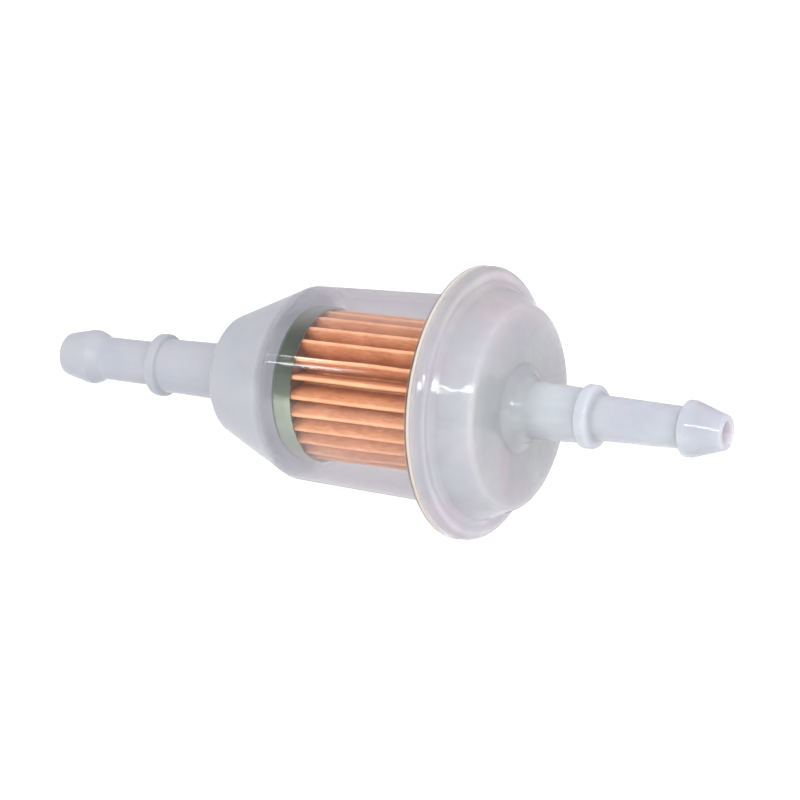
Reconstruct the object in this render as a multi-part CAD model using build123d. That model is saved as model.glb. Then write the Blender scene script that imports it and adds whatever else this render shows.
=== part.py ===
from build123d import *
import math
import os

# In-line fuel filter: a turned, two-piece nylon housing with a stepped hose stem at each
# end and a pleated paper element inside. Everything lies on the X axis. Fuel enters at
# -X (bowl), passes the paper from outside to inside and leaves at +X (cap).
# Millimetres. Origin: middle of the overall length, on the axis.

# ---- overall -----------------------------------------------------------------------
HALF_LENGTH = 53.27          # tip to tip 106.5
WALL = 1.45                  # housing wall

# ---- inlet stem, on the bowl -------------------------------------------------------
IN_TIP_EDGE_R = 1.95         # flat ring left around the bore mouth
IN_TIP_R = 3.20              # radius where the rounded nose ends
IN_NOSE = 1.55               # length of the rounded nose
IN_BARB_R = 3.91             # crest of the barb
IN_BARB_X = -48.53           # middle of the crest's land
BARB_LAND = 0.90             # cylindrical land on each crest
IN_THIN_R0, IN_THIN_R1 = 3.09, 3.19
IN_THIN_X0 = -46.35          # where the thin stem starts behind the barb
IN_BEAD_X, IN_BEAD_R, IN_BEAD_W = -36.59, 4.53, 2.05
IN_THICK_R0, IN_THICK_R1 = 3.85, 4.06
IN_THICK_X1 = -25.85         # end of the thick stem, at the bowl

# ---- bowl --------------------------------------------------------------------------
SHOULDER = [(-25.43, 5.34), (-23.92, 7.71), (-23.23, 8.49)]
CONE_X1, CONE_R1 = -11.77, 13.77
FLANGE_X0, BOWL_R2 = 14.22, 14.68
FLANGE_R = 19.06             # 38.1 mm across
JOINT_X = 15.07              # plane where bowl and cap meet
BOWL_FLANGE_EDGE = 0.35      # rounding of the bowl flange's outer corner
TONGUE_R0, TONGUE_R1, TONGUE_H = 15.65, 16.75, 0.82
GROOVE_R0, GROOVE_R1, GROOVE_H = 15.60, 16.80, 0.90

# ---- cap ---------------------------------------------------------------------------
CAP_FLANGE_X1 = 16.82
CAP_RIM_ROUND = 1.20
SHOULDER_FOOT_R = 17.05      # where the flange face turns up into the boss
BOSS_FACE_X = 22.03
CAP_CAVITY_R0, CAP_CAVITY_R1 = 13.30, 13.05
CAP_INNER_X = 20.10          # inner face of the cap's end wall
OUT_ROOT_R = 6.0             # flare at the stem's root
OUT_ROOT_L = 2.2
OUT_THICK_R0, OUT_THICK_R1 = 4.07, 3.76
OUT_BEAD_X, OUT_BEAD_R, OUT_BEAD_W = 33.02, 4.41, 2.36
OUT_THIN_R0, OUT_THIN_R1 = 3.15, 2.88
OUT_BARB_X, OUT_BARB_R = 47.93, 3.88
OUT_TIP_R = 2.25

# ---- fuel ways ---------------------------------------------------------------------
BORE_R = 1.50                # through the thin part of each stem
BORE_MOUTH = 0.25            # chamfer at each mouth
WIDE_BORE_R = 2.25           # through the thick part of each stem
CHAMBER_X0 = -23.85          # inner end wall of the bowl
SPIGOT_R, SPIGOT_X0 = 4.25, 16.90

# ---- filter element ----------------------------------------------------------------
CUP_R, SHEET, CUP_BEND = 11.05, 0.35, 0.75
CUP_X0, CUP_RIM = -11.83, 3.30
RING_X1 = 19.20
RING_HOLE_R = 4.32
RING_COLLAR = 1.9
POTTING = 2.30
PAPER_IN_POTTING = 1.90
PLEATS = 25
PLEAT_OUT_R, FOLD_OUT_R = 10.29, 0.22   # centre of each outer fold, and its bend at mid-sheet
PLEAT_IN_R, FOLD_IN_R = 6.40, 0.30      # the same for the inner folds
PAPER_T = 0.30
PLEAT_LEAN = 3.5             # degrees by which an outer fold leads its symmetric place
PLEAT_TURN = -6.0            # degrees from +Y towards +Z of the first inner fold
SEAL_R0, SEAL_R1 = 4.45, 8.20


def turned(points):
    """Solid of revolution about X. A point is (x, r), or a tuple of three points for an arc's end."""
    edges, here = [], points[0]
    for item in points[1:]:
        if isinstance(item[0], tuple):
            mid, end = item
            edges.append(ThreePointArc((*here, 0), (*mid, 0), (*end, 0)))
            here = end
        else:
            edges.append(Line((*here, 0), (*item, 0)))
            here = item
    if math.dist(here, points[0]) > 1e-9:
        edges.append(Line((*here, 0), (*points[0], 0)))
    return revolve(make_face(Wire(edges)), Axis.X, 360)


def corner(a, b, c, radius):
    """Tangent arc that rounds corner b between a and c: (start, middle, end)."""
    ax, ay = a[0] - b[0], a[1] - b[1]
    cx, cy = c[0] - b[0], c[1] - b[1]
    la, lc = math.hypot(ax, ay), math.hypot(cx, cy)
    ua, uc = (ax / la, ay / la), (cx / lc, cy / lc)
    half = math.acos(max(-1, min(1, ua[0] * uc[0] + ua[1] * uc[1]))) / 2
    run = radius / math.tan(half)
    bis = (ua[0] + uc[0], ua[1] + uc[1])
    lb = math.hypot(*bis)
    bis = (bis[0] / lb, bis[1] / lb)
    centre = (b[0] + bis[0] * radius / math.sin(half), b[1] + bis[1] * radius / math.sin(half))
    start = (b[0] + ua[0] * run, b[1] + ua[1] * run)
    end = (b[0] + uc[0] * run, b[1] + uc[1] * run)
    mid = (centre[0] - bis[0] * radius, centre[1] - bis[1] * radius)
    return start, mid, end, centre


def profile(corners):
    """Corner list [(x, r, rounding)] turned into the point list that turned() reads."""
    out = []
    n = len(corners)
    for i, (x, r, rounding) in enumerate(corners):
        if rounding:
            a, c = corners[i - 1], corners[(i + 1) % n]
            start, mid, end, _ = corner(a[:2], (x, r), c[:2], rounding)
            out.append(start)
            out.append((mid, end))
        else:
            out.append((x, r))
    return out


def cone_r(x):
    """Outer radius of the bowl's cone at x."""
    (x0, r0) = SHOULDER[-1]
    return r0 + (CONE_R1 - r0) * (x - x0) / (CONE_X1 - x0)


# ---- inlet bowl --------------------------------------------------------------------
slope = math.atan2(CONE_R1 - SHOULDER[-1][1], CONE_X1 - SHOULDER[-1][0])
cone_in = WALL / math.cos(slope)
inner_corner_x = CONE_X1 + WALL * math.tan(slope / 2)
b0 = IN_BEAD_X - IN_BEAD_W / 2
b1 = IN_BEAD_X + IN_BEAD_W / 2
bowl = turned(profile([
    (-HALF_LENGTH, BORE_R + BORE_MOUTH, 0),
    (-HALF_LENGTH, IN_TIP_R - 0.25, 1.00),
    (-HALF_LENGTH + IN_NOSE, IN_TIP_R + 0.12, 1.2),
    (IN_BARB_X - BARB_LAND / 2, IN_BARB_R, 0),
    (IN_BARB_X + BARB_LAND / 2, IN_BARB_R, 0),
    (IN_BARB_X + BARB_LAND / 2 + 0.75, IN_BARB_R - 0.30, 0.6),
    (IN_THIN_X0, IN_THIN_R0, 0.5),
    (b0 - 0.05, IN_THIN_R1, 0.45),
    (b0 + 0.28, IN_BEAD_R, 0.70),
    (b1 - 0.28, IN_BEAD_R, 0.45),
    (b1 + 0.05, IN_THICK_R0, 0.25),
    (IN_THICK_X1, IN_THICK_R1, 0.35),
    (SHOULDER[0][0] - 0.05, SHOULDER[0][1] - 0.1, 0.6),
    (SHOULDER[1][0], SHOULDER[1][1], 1.2),
    (SHOULDER[2][0], SHOULDER[2][1], 1.5),
    (CONE_X1, CONE_R1, 1.2),
    (FLANGE_X0, BOWL_R2, 0.35),
    (FLANGE_X0, FLANGE_R, BOWL_FLANGE_EDGE),
    (JOINT_X, FLANGE_R, 0),
    (JOINT_X, TONGUE_R1, 0),
    (JOINT_X + TONGUE_H, TONGUE_R1, 0.15),
    (JOINT_X + TONGUE_H, TONGUE_R0, 0.15),
    (JOINT_X, TONGUE_R0, 0),
    (JOINT_X, BOWL_R2 - WALL + 0.02, 0),
    (inner_corner_x, CONE_R1 - WALL, 1.0),
    (CHAMBER_X0 + 1.15, cone_r(CHAMBER_X0 + 1.15) - cone_in, 0.9),
    (CHAMBER_X0, 5.1, 0.6),
    (CHAMBER_X0, WIDE_BORE_R, 0.3),
    (IN_BEAD_X + 0.9, WIDE_BORE_R, 0),
    (IN_BEAD_X - 0.2, BORE_R, 0),
    (-HALF_LENGTH + BORE_MOUTH, BORE_R, 0),
]))

# ---- outlet cap --------------------------------------------------------------------
c0 = OUT_BEAD_X - OUT_BEAD_W / 2
c1 = OUT_BEAD_X + OUT_BEAD_W / 2
cap = turned(profile([
    (JOINT_X, CAP_CAVITY_R0, 0),
    (JOINT_X, GROOVE_R0, 0),
    (JOINT_X + GROOVE_H, GROOVE_R0, 0),
    (JOINT_X + GROOVE_H, GROOVE_R1, 0),
    (JOINT_X, GROOVE_R1, 0),
    (JOINT_X, FLANGE_R, 0),
    (CAP_FLANGE_X1, FLANGE_R, CAP_RIM_ROUND),
    (CAP_FLANGE_X1, SHOULDER_FOOT_R, 0.7),
    (CAP_FLANGE_X1 + 0.75, 16.15, 0.7),
    (20.45, 14.85, 0.9),
    (BOSS_FACE_X - 0.05, 14.10, 1.15),
    (BOSS_FACE_X, OUT_ROOT_R + 0.25, 0.8),
    (BOSS_FACE_X + 0.85, OUT_ROOT_R - 1.1, 0.8),
    (BOSS_FACE_X + OUT_ROOT_L, OUT_THICK_R0, 1.6),
    (c0 - 0.05, OUT_THICK_R1, 0.3),
    (c0 + 0.34, OUT_BEAD_R, 0.45),
    (c1 - 0.34, OUT_BEAD_R, 0.75),
    (c1 + 0.05, OUT_THIN_R0, 0.45),
    (OUT_BARB_X - BARB_LAND / 2 - 0.55, OUT_THIN_R1, 0.25),
    (OUT_BARB_X - BARB_LAND / 2 - 0.10, OUT_BARB_R - 0.12, 0),
    (OUT_BARB_X - BARB_LAND / 2, OUT_BARB_R, 0),
    (OUT_BARB_X + BARB_LAND / 2, OUT_BARB_R, 0),
    (HALF_LENGTH, OUT_TIP_R + 0.08, 0.40),
    (HALF_LENGTH, BORE_R + BORE_MOUTH, 0),
    (HALF_LENGTH - BORE_MOUTH, BORE_R, 0),
    (OUT_BEAD_X + 0.3, BORE_R, 0),
    (OUT_BEAD_X - 0.8, WIDE_BORE_R, 0),
    (SPIGOT_X0, WIDE_BORE_R, 0.35),
    (SPIGOT_X0, SPIGOT_R, 0.35),
    (CAP_INNER_X, SPIGOT_R, 0.15),
    (CAP_INNER_X, CAP_CAVITY_R1, 1.2),
]))

# ---- closed end cup: drawn sheet, floor towards the inlet --------------------------
cup_x1 = CUP_X0 + CUP_RIM
cup = turned(profile([
    (CUP_X0, 0, 0),
    (CUP_X0, CUP_R, CUP_BEND),
    (cup_x1, CUP_R, 0.12),
    (cup_x1, CUP_R - SHEET, 0.12),
    (CUP_X0 + SHEET, CUP_R - SHEET, CUP_BEND - SHEET),
    (CUP_X0 + SHEET, 0, 0),
]))

# ---- open end ring: the same cup with a collared hole ------------------------------
ring_x0 = RING_X1 - CUP_RIM
ring = turned(profile([
    (RING_X1, RING_HOLE_R, 0.45),
    (RING_X1, CUP_R, CUP_BEND),
    (ring_x0, CUP_R, 0.12),
    (ring_x0, CUP_R - SHEET, 0.12),
    (RING_X1 - SHEET, CUP_R - SHEET, CUP_BEND - SHEET),
    (RING_X1 - SHEET, RING_HOLE_R + SHEET, 0.10),
    (RING_X1 - RING_COLLAR, RING_HOLE_R + SHEET, 0.12),
    (RING_X1 - RING_COLLAR, RING_HOLE_R, 0.12),
]))

# ---- pleated paper -----------------------------------------------------------------
step = 360 / PLEATS


def polar(radius, degrees):
    a = math.radians(degrees)
    return radius * math.cos(a), radius * math.sin(a)


def pleat_loop(side):
    """Closed outline of one face of the paper: arcs about the fold centres, joined by
    their crossing tangents. side is the distance from mid-sheet, positive outwards."""
    inner = [polar(PLEAT_IN_R, PLEAT_TURN + i * step) for i in range(PLEATS)]
    outer = [
        polar(PLEAT_OUT_R, PLEAT_TURN + (i + 0.5) * step + PLEAT_LEAN) for i in range(PLEATS)
    ]
    r_in, r_out = FOLD_IN_R - side, FOLD_OUT_R + side

    def normal(a, b, sign):
        """Unit normal of the flank between inner centre a and outer centre b."""
        dx, dy = b[0] - a[0], b[1] - a[1]
        d = math.hypot(dx, dy)
        ux, uy = dx / d, dy / d
        sine = (FOLD_IN_R + FOLD_OUT_R) / d
        cosine = math.sqrt(1 - sine * sine)
        return sign * ux * sine - uy * cosine, sign * uy * sine + ux * cosine

    def along(p, n, length):
        return p[0] + n[0] * length, p[1] + n[1] * length

    def unit(x, y):
        d = math.hypot(x, y)
        return x / d, y / d

    edges = []
    for i in range(PLEATS):
        a, b, a_next = inner[i], outer[i], inner[(i + 1) % PLEATS]
        before = normal(a, outer[i - 1], -1)      # flank that arrives at this inner fold
        up = normal(a, b, 1)                      # flank out to the outer fold
        down = normal(a_next, b, -1)              # flank back in
        start, leave = along(a, before, -r_in), along(a, up, r_in)
        bend = along(a, unit(before[0] - up[0], before[1] - up[1]), r_in)
        if (bend[0] - a[0]) * a[0] + (bend[1] - a[1]) * a[1] > 0:
            bend = (2 * a[0] - bend[0], 2 * a[1] - bend[1])
        edges.append(ThreePointArc((*start, 0), (*bend, 0), (*leave, 0)))
        reach, go = along(b, up, -r_out), along(b, down, r_out)
        edges.append(Line((*leave, 0), (*reach, 0)))
        crest = along(b, unit(down[0] - up[0], down[1] - up[1]), r_out)
        if (crest[0] - b[0]) * b[0] + (crest[1] - b[1]) * b[1] < 0:
            crest = (2 * b[0] - crest[0], 2 * b[1] - crest[1])
        edges.append(ThreePointArc((*reach, 0), (*crest, 0), (*go, 0)))
        edges.append(Line((*go, 0), (*along(a_next, down, -r_in), 0)))
    return Wire(edges)


paper_x0 = CUP_X0 + SHEET + POTTING - PAPER_IN_POTTING
paper_x1 = RING_X1 - SHEET - POTTING + PAPER_IN_POTTING
section = Face(pleat_loop(PAPER_T / 2), [pleat_loop(-PAPER_T / 2)])
paper = Solid.extrude(section, Vector(0, 0, paper_x1 - paper_x0))
# local X, Y, Z become Y, Z, X
to_axis = Location(Plane(origin=(paper_x0, 0, 0), x_dir=(0, 1, 0), z_dir=(1, 0, 0)))
paper = to_axis * paper

# ---- potting that seals the pleats' ends -------------------------------------------
cup_pot = turned(profile([
    (CUP_X0 + SHEET, 0, 0),
    (CUP_X0 + SHEET, CUP_R - SHEET, CUP_BEND - SHEET),
    (CUP_X0 + SHEET + POTTING, CUP_R - SHEET, 0),
    (CUP_X0 + SHEET + POTTING, 0, 0),
]))
ring_pot = turned(profile([
    (RING_X1 - SHEET, RING_HOLE_R + SHEET + 0.12, 0),
    (RING_X1 - SHEET, CUP_R - SHEET, CUP_BEND - SHEET),
    (RING_X1 - SHEET - POTTING, CUP_R - SHEET, 0),
    (RING_X1 - SHEET - POTTING, RING_HOLE_R + SHEET + 0.30, 0),
    (RING_X1 - RING_COLLAR, RING_HOLE_R + SHEET + 0.12, 0),
]))
cup_pot = cup_pot - paper
ring_pot = ring_pot - paper

# ---- seal between the element's open end and the cap -------------------------------
seal = turned(profile([
    (RING_X1, SEAL_R0, 0.12),
    (CAP_INNER_X, SEAL_R0, 0.12),
    (CAP_INNER_X, SEAL_R1, 0.20),
    (RING_X1, SEAL_R1, 0.20),
]))

nodes = {
    "inlet_bowl": bowl,
    "outlet_cap": cap,
    "filter_paper": paper,
    "closed_end_cup": cup,
    "closed_end_potting": cup_pot,
    "open_end_ring": ring,
    "open_end_potting": ring_pot,
    "seat_seal": seal,
}
os.makedirs("parts", exist_ok=True)
for name, shape in nodes.items():
    solids = shape.solids()
    print(name, "solids", len(solids), "volume", round(sum(s.volume for s in solids), 1), "valid", all(s.is_valid for s in solids))
    export_step(solids[0] if len(solids) == 1 else Compound(children=list(solids)), f"parts/{name}.step")
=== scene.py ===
import math

import bpy
import bmesh
import numpy as np
from mathutils import Matrix, Vector


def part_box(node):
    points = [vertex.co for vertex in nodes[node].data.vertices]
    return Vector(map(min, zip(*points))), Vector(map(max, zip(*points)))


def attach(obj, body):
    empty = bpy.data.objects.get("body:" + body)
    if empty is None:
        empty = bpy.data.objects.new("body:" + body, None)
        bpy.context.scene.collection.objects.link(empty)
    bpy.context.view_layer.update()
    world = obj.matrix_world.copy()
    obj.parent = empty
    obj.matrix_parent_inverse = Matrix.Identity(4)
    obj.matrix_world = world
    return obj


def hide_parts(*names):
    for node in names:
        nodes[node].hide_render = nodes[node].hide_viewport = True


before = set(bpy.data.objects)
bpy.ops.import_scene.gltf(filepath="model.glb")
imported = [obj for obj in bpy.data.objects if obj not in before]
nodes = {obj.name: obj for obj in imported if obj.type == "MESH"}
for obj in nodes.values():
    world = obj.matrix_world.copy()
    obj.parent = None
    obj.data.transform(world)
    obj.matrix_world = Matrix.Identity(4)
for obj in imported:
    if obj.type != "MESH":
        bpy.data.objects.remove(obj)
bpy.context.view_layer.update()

MM = 0.001


rng = np.random.default_rng(26)


# ------------------------------------------------------------------ profiles and turning
def corner_arc(a, b, c, radius, step_deg=6.0):
    """Points of the tangent arc that rounds corner b between a and c."""
    a, b, c = (np.array(p, float) for p in (a, b, c))
    ua = (a - b) / np.linalg.norm(a - b)
    uc = (c - b) / np.linalg.norm(c - b)
    half = math.acos(max(-1.0, min(1.0, float(ua @ uc)))) / 2
    if half > math.pi / 2 - 1e-3:
        return [b]
    bis = ua + uc
    bis /= np.linalg.norm(bis)
    centre = b + bis * radius / math.sin(half)
    start = b + ua * radius / math.tan(half)
    end = b + uc * radius / math.tan(half)
    a0 = math.atan2(*(start - centre)[::-1])
    a1 = math.atan2(*(end - centre)[::-1])
    turn = (a1 - a0 + math.pi) % (2 * math.pi) - math.pi
    n = max(3, int(math.ceil(abs(math.degrees(turn)) / step_deg)))
    return [centre + radius * np.array([math.cos(a0 + turn * i / n), math.sin(a0 + turn * i / n)]) for i in range(n + 1)]


def profile(corners, closed=True, support=0.05, longest=2.0):
    """Corner list [(x, r, rounding)] in mm, as a dense outline: arcs at the roundings, and extra
    points near the ends of every straight run, so that smooth shading stays flat on it."""
    n = len(corners)
    pieces = []
    for i, (x, r, rounding) in enumerate(corners):
        if rounding and (closed or 0 < i < n - 1):
            pieces.append(corner_arc(corners[i - 1][:2], (x, r), corners[(i + 1) % n][:2], rounding))
        else:
            pieces.append([np.array((x, r), float)])
    out = []
    for i, piece in enumerate(pieces):
        out.extend(piece)
        if not closed and i == n - 1:
            break
        a, b = piece[-1], pieces[(i + 1) % n][0]
        length = float(np.linalg.norm(b - a))
        if length > 3 * support:
            inner = max(1, int(math.ceil((length - 2 * support) / longest)))
            for s in np.linspace(support, length - support, inner + 1):
                out.append(a + (b - a) * s / length)
    keep = [out[0]]
    for p in out[1:]:
        if np.linalg.norm(p - keep[-1]) > 1e-4:
            keep.append(p)
    if closed and np.linalg.norm(keep[0] - keep[-1]) < 1e-4:
        keep.pop()
    return np.array(keep)


def new_object(name, verts, faces, sharp_deg=None):
    me = bpy.data.meshes.new(name)
    me.from_pydata([tuple(v) for v in verts], [], faces)
    bm = bmesh.new()
    bm.from_mesh(me)
    bmesh.ops.recalc_face_normals(bm, faces=bm.faces)
    bm.to_mesh(me)
    bm.free()
    me.shade_smooth()
    if sharp_deg:
        me.set_sharp_from_angle(angle=math.radians(sharp_deg))
    ob = bpy.data.objects.new(name, me)
    bpy.context.scene.collection.objects.link(ob)
    return ob


def turned(name, outline, segments=256, closed=True, sharp_deg=40):
    """A solid of revolution about X from an outline of (x, r) in mm. An open outline starts and ends on the axis."""
    verts, faces, rings = [], [], []
    ang = np.linspace(0, 2 * math.pi, segments, endpoint=False)
    for x, r in outline:
        if r < 1e-6:
            rings.append([len(verts)])
            verts.append((x * MM, 0, 0))
        else:
            rings.append(list(range(len(verts), len(verts) + segments)))
            verts.extend(zip(np.full(segments, x * MM), r * MM * np.cos(ang), r * MM * np.sin(ang)))
    pairs = list(zip(rings, rings[1:])) + ([(rings[-1], rings[0])] if closed else [])
    for a, b in pairs:
        for k in range(segments):
            j = (k + 1) % segments
            if len(a) == 1 and len(b) == 1:
                continue
            if len(a) == 1:
                faces.append((a[0], b[j], b[k]))
            elif len(b) == 1:
                faces.append((a[k], a[j], b[0]))
            else:
                faces.append((a[k], a[j], b[j], b[k]))
    return new_object(name, verts, faces, sharp_deg)


# ------------------------------------------------------------------ the housing, as in the CAD
bowl_lo, bowl_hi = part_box("inlet_bowl")
cap_lo, cap_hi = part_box("outlet_cap")
cup_lo, cup_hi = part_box("closed_end_cup")
ring_lo, ring_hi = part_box("open_end_ring")
seal_lo, seal_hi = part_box("seat_seal")
TIP_IN = bowl_lo.x / MM
TIP_OUT = cap_hi.x / MM
JOINT = cap_lo.x / MM            # plane where bowl and cap meet
FLANGE_R = cap_hi.y / MM
WALL = 1.45
BORE, WIDE = 1.50, 2.25
FLANGE_X0 = JOINT - 0.85
CONE_X1, CONE_R1, BOWL_R2 = -11.77, 13.77, 14.68
SH = [(-25.43, 5.34), (-23.92, 7.71), (-23.23, 8.49)]
slope = math.atan2(CONE_R1 - SH[2][1], CONE_X1 - SH[2][0])
cone_in = WALL / math.cos(slope)
inner_corner_x = CONE_X1 + WALL * math.tan(slope / 2)
CH0 = -23.85


def cone_r(x):
    return SH[2][1] + (CONE_R1 - SH[2][1]) * (x - SH[2][0]) / (CONE_X1 - SH[2][0])


b0, b1 = -36.59 - 1.025, -36.59 + 1.025
bowl_outline = profile([
    (TIP_IN, BORE + 0.25, 0),
    (TIP_IN, 2.95, 1.00),
    (TIP_IN + 1.55, 3.32, 1.2),
    (-48.98, 3.91, 0.25),
    (-48.08, 3.91, 0.25),
    (-47.33, 3.61, 0.6),
    (-46.35, 3.09, 0.5),
    (b0 - 0.05, 3.19, 0.45),
    (b0 + 0.28, 4.53, 0.70),
    (b1 - 0.28, 4.53, 0.45),
    (b1 + 0.05, 3.85, 0.25),
    (-25.85, 4.06, 0.35),
    (SH[0][0] - 0.05, SH[0][1] - 0.1, 0.6),
    (SH[1][0], SH[1][1], 1.2),
    (SH[2][0], SH[2][1], 1.5),
    (CONE_X1, CONE_R1, 1.2),
    (FLANGE_X0, BOWL_R2, 0.35),
    (FLANGE_X0, FLANGE_R, 0.35),
    (JOINT, FLANGE_R, 0),
    (JOINT, 16.75, 0),
    (JOINT + 0.82, 16.75, 0.15),
    (JOINT + 0.82, 15.65, 0.15),
    (JOINT, 15.65, 0),
    (JOINT, BOWL_R2 - WALL + 0.02, 0),
    (inner_corner_x, CONE_R1 - WALL, 1.0),
    (CH0 + 1.15, cone_r(CH0 + 1.15) - cone_in, 0.9),
    (CH0, 5.1, 0.6),
    (CH0, WIDE, 0.3),
    (-36.59 + 0.9, WIDE, 0.2),
    (-36.59 - 0.2, BORE, 0.2),
    (TIP_IN + 0.25, BORE, 0.1),
])
c0, c1 = 33.02 - 1.18, 33.02 + 1.18
cap_outline = profile([
    (JOINT, 13.30, 0),
    (JOINT, 15.60, 0),
    (JOINT + 0.90, 15.60, 0),
    (JOINT + 0.90, 16.80, 0),
    (JOINT, 16.80, 0),
    (JOINT, FLANGE_R, 0),
    (16.82, FLANGE_R, 1.20),
    (16.82, 17.05, 0.7),
    (17.57, 16.15, 0.7),
    (20.45, 14.85, 0.9),
    (21.98, 14.10, 1.15),
    (22.03, 6.25, 0.8),
    (22.88, 4.90, 0.8),
    (24.23, 4.07, 1.6),
    (c0 - 0.05, 3.76, 0.3),
    (c0 + 0.34, 4.41, 0.45),
    (c1 - 0.34, 4.41, 0.75),
    (c1 + 0.05, 3.15, 0.45),
    (46.93, 2.88, 0.25),
    (47.38, 3.76, 0),
    (47.48, 3.88, 0.05),
    (48.38, 3.88, 0.25),
    (TIP_OUT, 2.33, 0.40),
    (TIP_OUT, BORE + 0.25, 0.08),
    (TIP_OUT - 0.25, BORE, 0.08),
    (33.32, BORE, 0.2),
    (32.22, WIDE, 0.2),
    (16.90, WIDE, 0.35),
    (16.90, 4.25, 0.35),
    (20.10, 4.25, 0.15),
    (20.10, 13.05, 1.2),
])
SEGMENTS = 256
bowl = turned("bowl_shell", bowl_outline, SEGMENTS)
cap = turned("cap_shell", cap_outline, SEGMENTS)

# 1 on the bowl's outer skin, 0 on its inner one
rim = max(i for i, (x, r) in enumerate(bowl_outline) if r > FLANGE_R - 0.01)
skin = bowl.data.attributes.new("outer_skin", "FLOAT", "POINT")
skin.data.foreach_set("value", np.repeat((np.arange(len(bowl_outline)) <= rim).astype(np.float32), SEGMENTS))

# ------------------------------------------------------------------ the element's metal ends
SHEET, BEND = 0.35, 0.75
cup_x0, cup_x1, cup_r = cup_lo.x / MM, cup_hi.x / MM, cup_hi.y / MM
cup = turned("end_cup", profile([
    (cup_x0, 0, 0),
    (cup_x0, 6.2, 0.5),
    (cup_x0 + 0.18, 6.6, 0.5),
    (cup_x0 + 0.18, 8.6, 0.5),
    (cup_x0, 9.0, 0.5),
    (cup_x0, cup_r, BEND),
    (cup_x1, cup_r, 0.12),
    (cup_x1, cup_r - SHEET, 0.12),
    (cup_x0 + SHEET, cup_r - SHEET, BEND - SHEET),
    (cup_x0 + SHEET, 0, 0),
], closed=False), closed=False)
ring_x0, ring_x1 = ring_lo.x / MM, ring_hi.x / MM
HOLE = 4.32
ring = turned("open_ring", profile([
    (ring_x1, HOLE, 0.45),
    (ring_x1, cup_r, BEND),
    (ring_x0, cup_r, 0.12),
    (ring_x0, cup_r - SHEET, 0.12),
    (ring_x1 - SHEET, cup_r - SHEET, BEND - SHEET),
    (ring_x1 - SHEET, HOLE + SHEET, 0.10),
    (ring_x1 - 1.9, HOLE + SHEET, 0.12),
    (ring_x1 - 1.9, HOLE, 0.12),
]))

# ------------------------------------------------------------------ pleated paper
paper_lo, paper_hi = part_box("filter_paper")
PLEATS = 25
R_OUT, F_OUT = 10.34, 0.17
R_IN, F_IN = 6.40, 0.28
SHEET_T = 0.28
LEAN, TURN = 3.5, -6.0
px0, px1 = paper_lo.x / MM, paper_hi.x / MM
STATIONS = 60


def wander(n_terms, amp, lo=0.4, hi=2.2):
    """A smooth random curve along the element's length, as a function of s in 0..1."""
    f = rng.uniform(lo, hi, n_terms)
    p = rng.uniform(0, 2 * math.pi, n_terms)
    a = rng.normal(0, 1, n_terms) * amp / math.sqrt(n_terms)
    return lambda s: sum(a[k] * math.sin(2 * math.pi * f[k] * s + p[k]) for k in range(n_terms))


tip_shift = rng.normal(0, 0.7, PLEATS)          # degrees, each outer fold's own place
tip_shift[8:17] = (0.0, -1.2, -0.2, 0.5, 1.6, 0.7, -0.6, -1.6, 0.5)
tip_r = rng.normal(0, 0.06, PLEATS)
root_shift = rng.normal(0, 0.35, PLEATS)
tip_wave = [wander(3, 0.28) for _ in range(PLEATS)]
tip_r_wave = [wander(3, 0.03) for _ in range(PLEATS)]
root_wave = [wander(3, 0.4) for _ in range(PLEATS)]
belly = rng.normal(0.04, 0.05, PLEATS)


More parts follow.
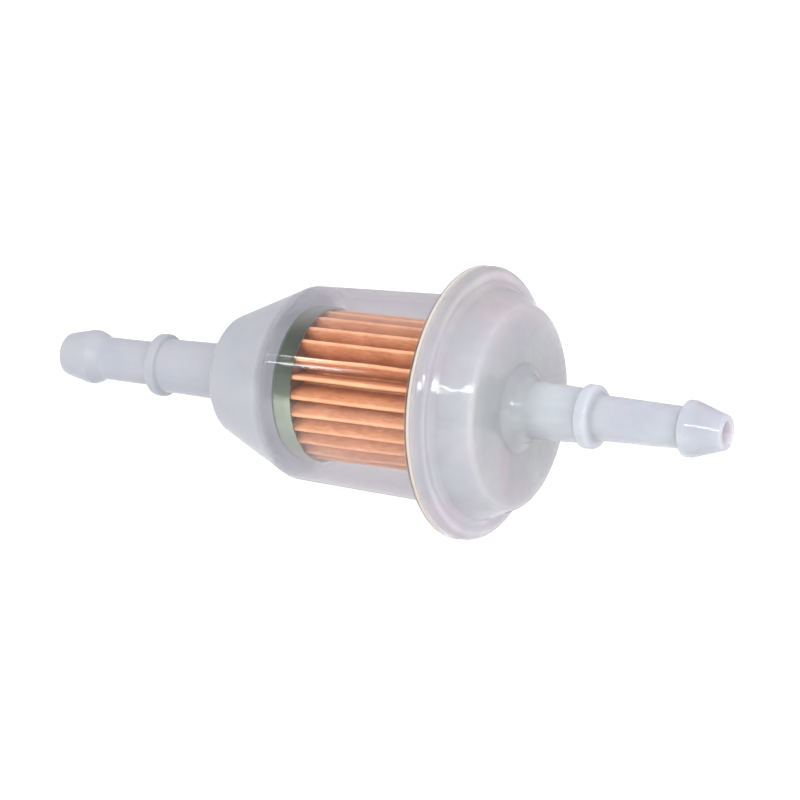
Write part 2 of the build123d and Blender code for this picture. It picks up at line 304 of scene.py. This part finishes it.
def section(s):
    """Centre-line points and their in-plane normals at station s (0..1), a closed loop in (y, z)."""
    ease = min(1.0, s / 0.10, (1 - s) / 0.10)     # the potting holds the ends regular
    ease = ease * ease * (3 - 2 * ease)
    step = 2 * math.pi / PLEATS
    A, B = [], []
    for i in range(PLEATS):
        a = i * step + math.radians(TURN + (root_shift[i] * 0.6 + root_wave[i](s)) * ease)
        A.append(np.array([R_IN * math.cos(a), R_IN * math.sin(a)]))
        b = (i + 0.5) * step + math.radians(TURN + LEAN + tip_shift[i] * (0.7 + 0.3 * ease) + tip_wave[i](s) * ease)
        r = R_OUT + min(0.04, (tip_r[i] * 0.5 + tip_r_wave[i](s)) * ease)
        B.append(np.array([r * math.cos(b), r * math.sin(b)]))

    def normal(a, b, sign):
        d = b - a
        length = np.linalg.norm(d)
        u = d / length
        sine = (F_IN + F_OUT) / length
        cosine = math.sqrt(1 - sine * sine)
        return sign * u * sine + np.array([-u[1], u[0]]) * cosine

    pts, nrm, tag = [], [], []

    def arc(c, n0, n1, radius, outward, count, mark):
        """From direction n0 to n1 round centre c. outward says which way the bend's back faces."""
        a0, a1 = math.atan2(n0[1], n0[0]), math.atan2(n1[1], n1[0])
        mid = math.atan2(c[1], c[0]) + (0 if outward else math.pi)
        best = None
        for turn in (0, 2 * math.pi, -2 * math.pi):
            t = a1 - a0 + turn
            m = a0 + t / 2
            off = abs((m - mid + math.pi) % (2 * math.pi) - math.pi)
            if abs(t) < 2 * math.pi and (best is None or off < best[0]):
                best = (off, t)
        t = best[1]
        for k in range(count + 1):
            g = a0 + t * k / count
            d = np.array([math.cos(g), math.sin(g)])
            pts.append(c + radius * d)
            nrm.append(d if outward else -d)
            tag.append(mark * math.sin(math.pi * k / count))

    def flank(p, q, n, bulge, count):
        for k in range(1, count):
            t = k / count
            pts.append(p + (q - p) * t + n * bulge * math.sin(math.pi * t))
            nrm.append(n)
            tag.append(0.0)

    for i in range(PLEATS):
        a, b, a2 = A[i], B[i], A[(i + 1) % PLEATS]
        before, up, down = normal(a, B[i - 1], -1), normal(a, b, 1), normal(a2, b, -1)
        arc(a, -before, up, F_IN, False, 6, -1.0)
        flank(a + up * F_IN, b - up * F_OUT, -up, belly[i] * ease, 9)
        arc(b, -up, down, F_OUT, True, 10, 1.0)
        flank(b + down * F_OUT, a2 - down * F_IN, down, 0.3 * belly[i] * ease, 7)
    return np.array(pts), np.array(nrm), np.array(tag)


def build_paper():
    stations = np.concatenate([[0], np.linspace(0.004, 0.996, STATIONS - 2), [1]])
    outer, inner, tags = [], [], None
    for s in stations:
        p, n, tag = section(float(s))
        outer.append(p + n * SHEET_T / 2)
        inner.append(p - n * SHEET_T / 2)
        tags = tag
    m = len(outer[0])
    verts, fold = [], []
    for loops in (outer, inner):
        for s, loop in zip(stations, loops):
            x = px0 + (px1 - px0) * s
            verts.extend((x * MM, y * MM, z * MM) for y, z in loop)
            fold.extend(tags)
    faces = []
    base = len(stations) * m
    for layer in (0, 1):
        for j in range(len(stations) - 1):
            for k in range(m):
                k2 = (k + 1) % m
                a, b = layer * base + j * m + k, layer * base + j * m + k2
                c, d = b + m, a + m
                faces.append((a, b, c, d) if layer == 0 else (a, d, c, b))
    for j in (0, len(stations) - 1):
        for k in range(m):
            k2 = (k + 1) % m
            a, b = j * m + k, j * m + k2
            faces.append((a, base + a, base + b, b) if j == 0 else (a, b, base + b, base + a))
    ob = new_object("paper_pleats", verts, faces, 60)
    att = ob.data.attributes.new("fold", "FLOAT", "POINT")
    att.data.foreach_set("value", np.array(fold, np.float32))
    return ob


paper = build_paper()


# ------------------------------------------------------------------ materials
class Tree:
    """A short way to write a material's nodes."""

    def __init__(self, name):
        self.mat = bpy.data.materials.new(name)
        self.mat.use_nodes = True
        self.nt = self.mat.node_tree
        self.nt.nodes.clear()
        self.out = self.add("ShaderNodeOutputMaterial")

    def add(self, kind, **settings):
        node = self.nt.nodes.new(kind)
        for key, value in settings.items():
            setattr(node, key, value)
        return node

    def put(self, socket, value):
        if isinstance(value, bpy.types.NodeSocket):
            self.nt.links.new(value, socket)
        elif isinstance(value, bpy.types.Node):
            self.nt.links.new(value.outputs[0], socket)
        else:
            socket.default_value = value

    def coords(self, scale=(1, 1, 1)):
        tc = self.add("ShaderNodeTexCoord")
        mp = self.add("ShaderNodeMapping")
        self.nt.links.new(tc.outputs["Object"], mp.inputs["Vector"])
        mp.inputs["Scale"].default_value = scale
        return mp.outputs["Vector"]

    def noise(self, vector, scale, detail=3.0, rough=0.5, distortion=0.0):
        n = self.add("ShaderNodeTexNoise")
        self.put(n.inputs["Vector"], vector)
        n.inputs["Scale"].default_value = scale
        n.inputs["Detail"].default_value = detail
        n.inputs["Roughness"].default_value = rough
        n.inputs["Distortion"].default_value = distortion
        return n.outputs["Fac"]

    def ramp(self, fac, stops, interpolation="LINEAR"):
        r = self.add("ShaderNodeValToRGB")
        self.put(r.inputs["Fac"], fac)
        r.color_ramp.interpolation = interpolation
        el = r.color_ramp.elements
        while len(el) < len(stops):
            el.new(0.5)
        for e, (pos, colour) in zip(el, stops):
            e.position = pos
            e.color = (*colour, 1) if len(colour) == 3 else colour
        return r.outputs["Color"]

    def mix(self, fac, a, b, blend="MIX"):
        m = self.add("ShaderNodeMix", data_type="RGBA", blend_type=blend)
        self.put(m.inputs[0], fac)
        self.put(m.inputs[6], a if not isinstance(a, tuple) else (*a, 1)[:4])
        self.put(m.inputs[7], b if not isinstance(b, tuple) else (*b, 1)[:4])
        return m.outputs[2]

    def math(self, op, a, b=0.0, clamp=False):
        m = self.add("ShaderNodeMath", operation=op, use_clamp=clamp)
        self.put(m.inputs[0], a)
        self.put(m.inputs[1], b)
        return m.outputs[0]

    def bump(self, height, strength, distance, normal=None):
        b = self.add("ShaderNodeBump")
        b.inputs["Strength"].default_value = strength
        b.inputs["Distance"].default_value = distance
        self.put(b.inputs["Height"], height)
        if normal is not None:
            self.put(b.inputs["Normal"], normal)
        return b.outputs["Normal"]

    def surface(self, shader):
        self.nt.links.new(shader, self.out.inputs["Surface"])
        return self.mat


def zone(t, value, start, end):
    """0 below start, 1 past end, with a smooth step between."""
    m = t.add("ShaderNodeMapRange", interpolation_type="SMOOTHSTEP")
    t.put(m.inputs["Value"], value)
    m.inputs["From Min"].default_value = start
    m.inputs["From Max"].default_value = end
    return m.outputs[0]


def clear_nylon():
    """The wall is clear with a little haze. The stem and its shoulder, which are thick, and the
    flange's edge are milky. The tint and the haze belong to the outer skin alone, so each wall
    counts once."""
    t = Tree("clear_nylon")
    v = t.coords()
    cloud = t.noise(v, 180, 3, 0.55)
    fine = t.noise(v, 900, 2, 0.5)
    skin = t.add("ShaderNodeAttribute", attribute_name="outer_skin").outputs["Fac"]
    where = t.add("ShaderNodeSeparateXYZ")
    t.put(where.inputs[0], v)
    x = where.outputs["X"]
    stem = t.math("ADD", t.math("MULTIPLY", zone(t, x, -0.0116, -0.0138), 0.72), t.math("MULTIPLY", zone(t, x, -0.0125, -0.0250), 0.28))
    rim = zone(t, x, (FLANGE_X0 + 0.38) * MM, (FLANGE_X0 + 0.50) * MM)
    # Painted shade: a dark brownish band on the outer skin along the flange's front edge, kept to mid height and to
    # the flange's outer radius
    flange_edge_shade = t.math("MULTIPLY", zone(t, x, (FLANGE_X0 - 0.10) * MM, (FLANGE_X0 + 0.02) * MM), t.math("SUBTRACT", 1.0, rim))
    level = t.math("ABSOLUTE", where.outputs["Z"])
    far = t.math("SQRT", t.math("ADD", t.math("POWER", where.outputs["Y"], 2.0), t.math("POWER", level, 2.0)))
    flange_edge_shade = t.math("MULTIPLY", flange_edge_shade, t.math("MULTIPLY", zone(t, level, 0.0135, 0.0105), zone(t, far, (FLANGE_R - 0.5) * MM, (FLANGE_R - 0.2) * MM)))
    # Painted highlight: a milkier ring just past the cone's corner, added into solid, standing in for the light ring
    # that refraction draws at the corner
    corner = t.math("MULTIPLY", zone(t, x, -0.01075, -0.01150), 0.24)
    solid = t.math("MAXIMUM", t.math("MAXIMUM", stem, rim), corner)
    normal = t.bump(t.math("ADD", t.math("MULTIPLY", cloud, 0.8), t.math("MULTIPLY", fine, 0.2)), 0.10, 0.0001)
    edge = t.add("ShaderNodeLayerWeight")
    edge.inputs["Blend"].default_value = 0.50
    slant = edge.outputs["Facing"]
    depth = t.ramp(slant, [(0.0, (0.96, 0.96, 0.96)), (0.14, (0.94, 0.94, 0.94)), (0.25, (0.88, 0.88, 0.885)), (0.36, (0.785, 0.775, 0.795)), (0.60, (0.745, 0.735, 0.76)), (1.0, (0.73, 0.72, 0.75))])
    mottle = t.ramp(cloud, [(0.30, (0.975, 0.985, 1.0)), (0.50, (1.0, 0.985, 1.0)), (0.70, (0.99, 1.0, 0.99))])
    tint = t.mix(1.0, depth, mottle, "MULTIPLY")
    # the painted shade band at the flange's front edge darkens the tint here
    tint = t.mix(flange_edge_shade, tint, (0.50, 0.42, 0.38))
    tint = t.mix(skin, (1.0, 1.0, 1.0), tint)
    clear = t.add("ShaderNodeBsdfTransparent")
    t.put(clear.inputs["Color"], tint)
    white = t.ramp(cloud, [(0.3, (0.380, 0.400, 0.450)), (0.5, (0.412, 0.412, 0.458)), (0.7, (0.404, 0.424, 0.456))])
    white = t.mix(rim, white, (0.64, 0.59, 0.52))
    diffuse = t.add("ShaderNodeBsdfDiffuse")
    t.put(diffuse.inputs["Color"], white)
    t.put(diffuse.inputs["Normal"], normal)
    glow = t.add("ShaderNodeBsdfTranslucent")
    t.put(glow.inputs["Color"], white)
    body = t.add("ShaderNodeMixShader")
    body.inputs[0].default_value = 0.5
    t.put(body.inputs[1], diffuse.outputs[0])
    t.put(body.inputs[2], glow.outputs[0])
    thin = t.ramp(slant, [(0.12, (0.015,) * 3), (0.25, (0.03,) * 3), (0.36, (0.18,) * 3), (0.46, (0.36,) * 3), (0.70, (0.44,) * 3), (1.0, (0.48,) * 3)])
    thick = t.math("MULTIPLY_ADD", solid, 0.93)
    t.put(thick.node.inputs[2], thin)
    haze = t.add("ShaderNodeMixShader")
    t.put(haze.inputs[0], t.math("MULTIPLY", thick, skin, True))
    t.put(haze.inputs[1], clear.outputs[0])
    t.put(haze.inputs[2], body.outputs[0])
    gloss = t.add("ShaderNodeBsdfGlossy")
    gloss.inputs["Color"].default_value = (1, 1, 1, 1)
    satin = t.math("MULTIPLY_ADD", stem, 0.35)
    satin.node.inputs[2].default_value = 0.05
    t.put(gloss.inputs["Roughness"], satin)
    t.put(gloss.inputs["Normal"], normal)
    geo = t.add("ShaderNodeNewGeometry")
    ior = t.math("MULTIPLY_ADD", geo.outputs["Backfacing"], 1 / 1.53 - 1.53)
    ior.node.inputs[2].default_value = 1.53
    fres = t.add("ShaderNodeFresnel")
    t.put(fres.inputs["IOR"], ior)
    t.put(fres.inputs["Normal"], normal)
    share = t.math("MULTIPLY_ADD", skin, 0.40)
    share.node.inputs[2].default_value = 0.25
    out = t.add("ShaderNodeMixShader")
    t.put(out.inputs[0], t.math("MULTIPLY", fres.outputs[0], share, True))
    t.put(out.inputs[1], haze.outputs[0])
    t.put(out.inputs[2], gloss.outputs[0])
    return t.surface(out.outputs[0])


def milky_nylon():
    t = Tree("milky_nylon")
    v = t.coords()
    cloud = t.noise(v, 120, 3, 0.55)
    other = t.noise(t.coords((1.3, 0.9, 1.1)), 95, 2, 0.5)
    fine = t.noise(v, 900, 2, 0.5)
    ripple = t.noise(v, 450, 1, 0.5)
    p = t.add("ShaderNodeBsdfPrincipled")
    pale = t.ramp(cloud, [(0.30, (0.246, 0.255, 0.282)), (0.50, (0.272, 0.271, 0.287)), (0.70, (0.296, 0.298, 0.306))])
    hue = t.ramp(other, [(0.30, (1.05, 0.965, 0.985)), (0.50, (1.0, 1.0, 1.0)), (0.70, (0.958, 0.99, 0.995))])
    where = t.add("ShaderNodeSeparateXYZ")
    t.put(where.inputs[0], v)
    pale = t.mix(1.0, pale, hue, "MULTIPLY")
    x = where.outputs["X"]
    far = t.math("SQRT", t.math("ADD", t.math("POWER", where.outputs["Y"], 2.0), t.math("POWER", where.outputs["Z"], 2.0)))
    side = t.math("MULTIPLY", zone(t, far, 0.0140, 0.0148), zone(t, far, 0.0164, 0.0158))
    pale = t.mix(side, pale, t.mix(1.0, pale, (0.95, 0.96, 0.985), "MULTIPLY"))
    pale = t.mix(zone(t, far, 0.0150, 0.0172), pale, t.mix(1.0, pale, (1.04, 1.05, 1.09), "MULTIPLY"))
    # Painted shade: the cap turns warmer and darker towards its top
    pale = t.mix(zone(t, where.outputs["Z"], 0.0100, 0.0160), pale, t.mix(1.0, pale, (0.97, 0.945, 0.905), "MULTIPLY"))
    # Painted shade: the cap flange's outer lip is darkened to about two thirds, over its lit rounded edge
    pale = t.mix(zone(t, far, 0.0180, 0.0188), pale, t.mix(1.0, pale, (0.66, 0.665, 0.66), "MULTIPLY"))
    pale = t.mix(zone(t, x, 0.0215, 0.0300), pale, t.mix(1.0, pale, (1.03, 1.09, 1.13), "MULTIPLY"))
    pale = t.mix(zone(t, x, 0.0450, 0.0480), pale, t.mix(1.0, pale, (0.90, 0.90, 0.92), "MULTIPLY"))
    t.put(p.inputs["Base Color"], pale)
    p.inputs["Roughness"].default_value = 0.11
    p.inputs["IOR"].default_value = 1.50
    p.inputs["Specular IOR Level"].default_value = 0.38
    p.inputs["Subsurface Weight"].default_value = 0.85
    p.inputs["Subsurface Radius"].default_value = (0.010, 0.009, 0.009)
    p.inputs["Subsurface Scale"].default_value = 1.0
    soft = t.bump(t.math("ADD", t.math("MULTIPLY", cloud, 0.8), t.math("MULTIPLY", fine, 0.2)), 0.12, 0.0001)
    t.put(p.inputs["Normal"], t.bump(ripple, 1.0, 0.00012, soft))
    return t.surface(p.outputs[0])


def paper_material():
    t = Tree("filter_paper")
    v = t.coords()
    along = t.coords((0.25, 1, 1))
    fibre = t.noise(along, 2600, 4, 0.65, 0.6)
    blot = t.noise(v, 260, 3, 0.55)
    att = t.add("ShaderNodeAttribute", attribute_name="fold")
    base = t.ramp(blot, [(0.30, (0.83, 0.40, 0.19)), (0.55, (0.90, 0.465, 0.24)), (0.75, (0.94, 0.52, 0.285))])
    flecks = t.ramp(fibre, [(0.35, (0.80, 0.78, 0.76)), (0.60, (1, 1, 1)), (0.78, (1.12, 1.10, 1.06))])
    colour = t.mix(1.0, base, flecks, "MULTIPLY")
    # Lighter, paler outer fold tips: partly crease wear, partly painted highlight on the tips
    crest_wear_and_highlight = t.math("MULTIPLY", t.math("MAXIMUM", att.outputs["Fac"], 0.0), 0.30, True)
    colour = t.mix(crest_wear_and_highlight, colour, (0.98, 0.64, 0.42))
    p = t.add("ShaderNodeBsdfPrincipled")
    t.put(p.inputs["Base Color"], colour)
    t.put(p.inputs["Roughness"], t.ramp(fibre, [(0.3, (0.92,) * 3), (0.7, (0.78,) * 3)]))
    p.inputs["Specular IOR Level"].default_value = 0.25
    t.put(p.inputs["Normal"], t.bump(fibre, 0.35, 0.00008))
    glow = t.add("ShaderNodeBsdfTranslucent")
    t.put(glow.inputs["Color"], colour)
    both = t.add("ShaderNodeMixShader")
    both.inputs[0].default_value = 0.32
    t.put(both.inputs[1], p.outputs[0])
    t.put(both.inputs[2], glow.outputs[0])
    return t.surface(both.outputs[0])


def plated_steel():
    t = Tree("plated_steel")
    v = t.coords((1, 0.05, 0.05))
    flat = t.coords()
    brush = t.noise(v, 5200, 3, 0.6)
    cloud = t.noise(flat, 220, 3, 0.55)
    p = t.add("ShaderNodeBsdfPrincipled")
    t.put(p.inputs["Base Color"], t.ramp(cloud, [(0.3, (0.315, 0.375, 0.295)), (0.7, (0.375, 0.425, 0.340))]))
    p.inputs["Metallic"].default_value = 1.0
    t.put(p.inputs["Roughness"], t.ramp(brush, [(0.3, (0.16,) * 3), (0.7, (0.26,) * 3)]))
    t.put(p.inputs["Normal"], t.bump(t.math("ADD", t.math("MULTIPLY", brush, 0.5), cloud), 0.12, 0.0001))
    return t.surface(p.outputs[0])


def potting_material():
    t = Tree("potting")
    v = t.coords()
    cloud = t.noise(v, 400, 3, 0.55)
    p = t.add("ShaderNodeBsdfPrincipled")
    t.put(p.inputs["Base Color"], t.ramp(cloud, [(0.3, (0.17, 0.125, 0.095)), (0.7, (0.26, 0.19, 0.145))]))
    t.put(p.inputs["Roughness"], t.ramp(cloud, [(0.3, (0.35,) * 3), (0.7, (0.55,) * 3)]))
    t.put(p.inputs["Normal"], t.bump(cloud, 0.3, 0.0002))
    return t.surface(p.outputs[0])


def seal_material():
    t = Tree("seal_rubber")
    v = t.coords()
    grain = t.noise(v, 2400, 3, 0.6)
    cloud = t.noise(v, 300, 2, 0.5)
    p = t.add("ShaderNodeBsdfPrincipled")
    t.put(p.inputs["Base Color"], t.ramp(cloud, [(0.3, (0.018, 0.018, 0.019)), (0.7, (0.032, 0.032, 0.033))]))
    t.put(p.inputs["Roughness"], t.ramp(grain, [(0.3, (0.62,) * 3), (0.7, (0.80,) * 3)]))
    t.put(p.inputs["Normal"], t.bump(grain, 0.3, 0.00005))
    return t.surface(p.outputs[0])


def give(ob, mat):
    ob.data.materials.clear()
    ob.data.materials.append(mat)


steel, pot = plated_steel(), potting_material()
give(bowl, clear_nylon())
give(cap, milky_nylon())
give(paper, paper_material())
give(cup, steel)
give(ring, steel)
for name, mat in (("closed_end_potting", pot), ("open_end_potting", pot), ("seat_seal", seal_material())):
    slots = nodes[name].material_slots
    if len(slots):
        for s in slots:
            s.material = mat
    else:
        nodes[name].data.materials.append(mat)

for ob, node, slot in ((bowl, "inlet_bowl", "clear_nylon"), (cap, "outlet_cap", "milky_nylon"), (paper, "filter_paper", "filter_paper"),
                       (cup, "closed_end_cup", "plated_steel"), (ring, "open_end_ring", "plated_steel")):
    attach(ob, "root")
    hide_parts(node)

# ------------------------------------------------------------------ floor, light, camera
FLOOR_Z = -0.14
me = bpy.data.meshes.new("floor")
me.from_pydata([(-4, -4, FLOOR_Z), (4, -4, FLOOR_Z), (4, 4, FLOOR_Z), (-4, 4, FLOOR_Z)], [], [(0, 1, 2, 3)])
floor = bpy.data.objects.new("floor", me)
bpy.context.scene.collection.objects.link(floor)
t = Tree("floor_white")
p = t.add("ShaderNodeBsdfPrincipled")
p.inputs["Base Color"].default_value = (0.8, 0.8, 0.8, 1)
p.inputs["Roughness"].default_value = 0.9
away = t.add("ShaderNodeVectorMath", operation="LENGTH")
t.put(away.inputs[0], t.coords())
p.inputs["Emission Color"].default_value = (1, 1, 1, 1)
t.put(p.inputs["Emission Strength"], t.math("MULTIPLY", zone(t, away.outputs["Value"], 0.25, 1.4), 0.85))
give(floor, t.surface(p.outputs[0]))

scene = bpy.context.scene
world = bpy.data.worlds.new("studio")
scene.world = world
world.use_nodes = True
wn = world.node_tree
wn.nodes.clear()
tc = wn.nodes.new("ShaderNodeTexCoord")
sep = wn.nodes.new("ShaderNodeSeparateXYZ")
wn.links.new(tc.outputs["Generated"], sep.inputs[0])
ramp = wn.nodes.new("ShaderNodeValToRGB")
wn.links.new(sep.outputs["Z"], ramp.inputs["Fac"])
stops = ((0.0, (0.42, 0.42, 0.43)), (0.24, (0.34, 0.345, 0.335)), (0.66, (0.31, 0.315, 0.30)), (0.75, (0.235, 0.22, 0.235)))
while len(ramp.color_ramp.elements) < len(stops):
    ramp.color_ramp.elements.new(0.5)
for e, (pos, colour) in zip(ramp.color_ramp.elements, stops):
    e.position = pos
    e.color = (*colour, 1)
bg = wn.nodes.new("ShaderNodeBackground")
behind = wn.nodes.new("ShaderNodeMapRange")
behind.interpolation_type = "SMOOTHSTEP"
wn.links.new(sep.outputs["Y"], behind.inputs["Value"])
behind.inputs["From Min"].default_value = 0.0
behind.inputs["From Max"].default_value = 0.6
sweep = wn.nodes.new("ShaderNodeMix")
sweep.data_type = "RGBA"
wn.links.new(behind.outputs[0], sweep.inputs[0])
wn.links.new(ramp.outputs["Color"], sweep.inputs[6])
sweep.inputs[7].default_value = (0.74, 0.73, 0.75, 1)
wn.links.new(sweep.outputs[2], bg.inputs["Color"])
bg.inputs["Strength"].default_value = 1.0
wo = wn.nodes.new("ShaderNodeOutputWorld")
wn.links.new(bg.outputs[0], wo.inputs["Surface"])
scene.view_settings.view_transform = "Standard"
scene.view_settings.look = "None"


AZ, EL = math.radians(29.92), math.radians(12.22)
back = Vector((math.sin(AZ) * math.cos(EL), -math.cos(AZ) * math.cos(EL), math.sin(EL)))
right = Vector((math.cos(AZ), math.sin(AZ), 0))
up = back.cross(right)
target = Vector((0.00279, 0, -0.00095))
cam_data = bpy.data.cameras.new("camera")
cam_data.lens = 174.7
cam_data.sensor_width = 36
cam_data.clip_start = 0.01
cam = bpy.data.objects.new("camera", cam_data)
scene.collection.objects.link(cam)
eye = target + back * 0.543
cam.matrix_world = Matrix.Translation(eye) @ Matrix((right, up, back)).transposed().to_4x4()
scene.camera = cam


def lamp(name, direction, distance, size, energy, colour=(1, 1, 1), size_y=None, target=(0, 0, 0), spin=0.0, spread=None):
    d = Vector(direction).normalized()
    data = bpy.data.lights.new(name, "AREA")
    data.energy = energy
    data.color = colour
    data.shape = "RECTANGLE"
    data.size = size
    data.size_y = size_y if size_y else size
    if spread:
        data.spread = math.radians(spread)
    ob = bpy.data.objects.new(name, data)
    scene.collection.objects.link(ob)
    z = d
    x = Vector((1, 0, 0))
    x = (x - z * x.dot(z)).normalized()
    y = z.cross(x)
    rot = Matrix((x, y, z)).transposed()
    ob.matrix_world = Matrix.Translation(Vector(target) + d * distance) @ rot.to_4x4() @ Matrix.Rotation(spin, 4, "Z")
    return ob


def glint(name, x, r, lift, tilt, distance, size, energy, size_y):
    """A lamp whose reflection shows at one point of a turned surface: x and r in mm, lift in degrees
    above the horizontal on the side of the inlet's front, tilt of the surface towards +X."""
    a, b = math.radians(lift), math.radians(tilt)
    p = Vector((x, -r * math.cos(a), r * math.sin(a))) * MM
    n = Vector((math.sin(b), -math.cos(b) * math.cos(a), math.cos(b) * math.sin(a)))
    view = (eye - p).normalized()
    return lamp(name, 2 * n.dot(view) * n - view, distance, size, energy, size_y=size_y, target=p)


# small lamps that only gloss sees, for the fine highlights
DRAFT = math.degrees(math.atan2(BOWL_R2 - CONE_R1, FLANGE_X0 - CONE_X1))
sparks = [
    glint("strip_a", -5.7, 13.97, 27.2, -DRAFT, 1.0, 0.023, 0.040, 0.014),
    glint("strip_b", -5.3, 13.99, 22.8, -DRAFT, 1.0, 0.027, 0.048, 0.014),
    glint("strip_haze", -1.8, 14.10, 23.4, -DRAFT, 1.0, 0.034, 0.030, 0.026),
    glint("flash_a", 19.0, 15.5, 18.6, 27.0, 0.60, 0.75, 2.6, 0.008),
    glint("flash_b", 22.7, 5.2, 22.0, 45.0, 0.60, 0.34, 1.5, 0.009),
]
housing = bpy.data.collections.new("housing")
for ob in (bowl, cap):
    housing.objects.link(ob)
for ob in sparks:
    ob.visible_diffuse = False
    ob.visible_transmission = False
    ob.light_linking.receiver_collection = housing
# broad soft light that gloss does not see
for ob in (
    lamp("overhead", (0.10, -0.25, 1.0), 1.2, 1.8, 23.0),
    lamp("front_soft", (0.15, -0.95, 0.25), 0.9, 2.0, 21.5, size_y=1.2),
    lamp("left_soft", (-1.0, -0.25, 0.15), 1.2, 0.8, 4.0),
    lamp("right_soft", (1.0, 0.0, 0.20), 0.9, 1.2, 6.8, size_y=1.6),
):
    ob.visible_glossy = False



def card(name, corners, tone):
    """A glowing card that only reflections see."""
    card_me = bpy.data.meshes.new(name)
    card_me.from_pydata(corners, [], [(0, 1, 2, 3)])
    ob = bpy.data.objects.new(name, card_me)
    scene.collection.objects.link(ob)
    ct = Tree(name)
    glowing = ct.add("ShaderNodeEmission")
    glowing.inputs["Color"].default_value = (*tone, 1)
    give(ob, ct.surface(glowing.outputs[0]))
    for flag in ("visible_camera", "visible_diffuse", "visible_transmission", "visible_shadow", "visible_volume_scatter"):
        setattr(ob, flag, False)


# grey in front of the object, and dark below and behind it, which draws the lower edges
card("grey_card", [(-1.2, -0.62, FLOOR_Z + 0.001), (1.2, -0.62, FLOOR_Z + 0.001), (1.2, -0.62, 0.22), (-1.2, -0.62, 0.22)], (0.50, 0.51, 0.50))
card("dark_card", [(-0.8, 0.20, FLOOR_Z + 0.02), (0.0, 0.20, FLOOR_Z + 0.02), (0.0, 0.80, FLOOR_Z + 0.02), (-0.8, 0.80, FLOOR_Z + 0.02)], (0.05, 0.05, 0.055))

bpy.context.view_layer.update()
